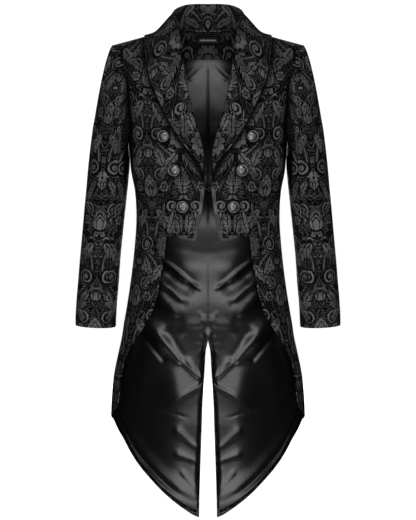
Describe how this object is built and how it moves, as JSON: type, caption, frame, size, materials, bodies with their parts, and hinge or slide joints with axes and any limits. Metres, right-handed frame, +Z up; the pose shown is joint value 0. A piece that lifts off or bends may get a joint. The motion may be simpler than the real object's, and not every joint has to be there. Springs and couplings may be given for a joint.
{
  "type": "tailcoat",
  "caption": "Tailcoat, hollow and filled out as worn, with a shawl collar, cut-away double-breasted fronts, long sleeves and tapering tails split by a centre vent.",
  "frame": {"origin": "middle of the neck at shoulder height, where the wearer's shoulders carry the coat", "axes": "+Z up, -Y the way the fronts face, +X the wearer's left"},
  "size_m": [0.5944, 0.2921, 1.2084],
  "materials": {
    "brocade": "black woven damask with a dull figure",
    "satin": "black satin lining",
    "label": "black woven tape",
    "button": "darkened old silver",
    "wire": "black lacquered wire"
  },
  "bodies": {
    "root": {"front_left": "brocade", "front_right": "brocade", "side_left": "brocade", "side_right": "brocade", "skirt_left": "brocade", "skirt_right": "brocade", "back_left": "brocade", "back_right": "brocade", "collar_left": "brocade", "collar_right": "brocade", "upper_sleeve_left": "brocade", "upper_sleeve_right": "brocade", "under_sleeve_left": "brocade", "under_sleeve_right": "brocade", "back_lining_left": "satin", "back_lining_right": "satin", "side_lining_left": "satin", "side_lining_right": "satin", "skirt_lining_left": "satin", "skirt_lining_right": "satin", "neck_facing_left": "brocade", "neck_facing_right": "brocade", "label": "label", "button_1_left": "button", "button_1_right": "button", "button_2_left": "button", "button_2_right": "button", "button_3_left": "button", "button_3_right": "button", "eye": "wire", "hook": "wire"}
  },
  "joints": []
}
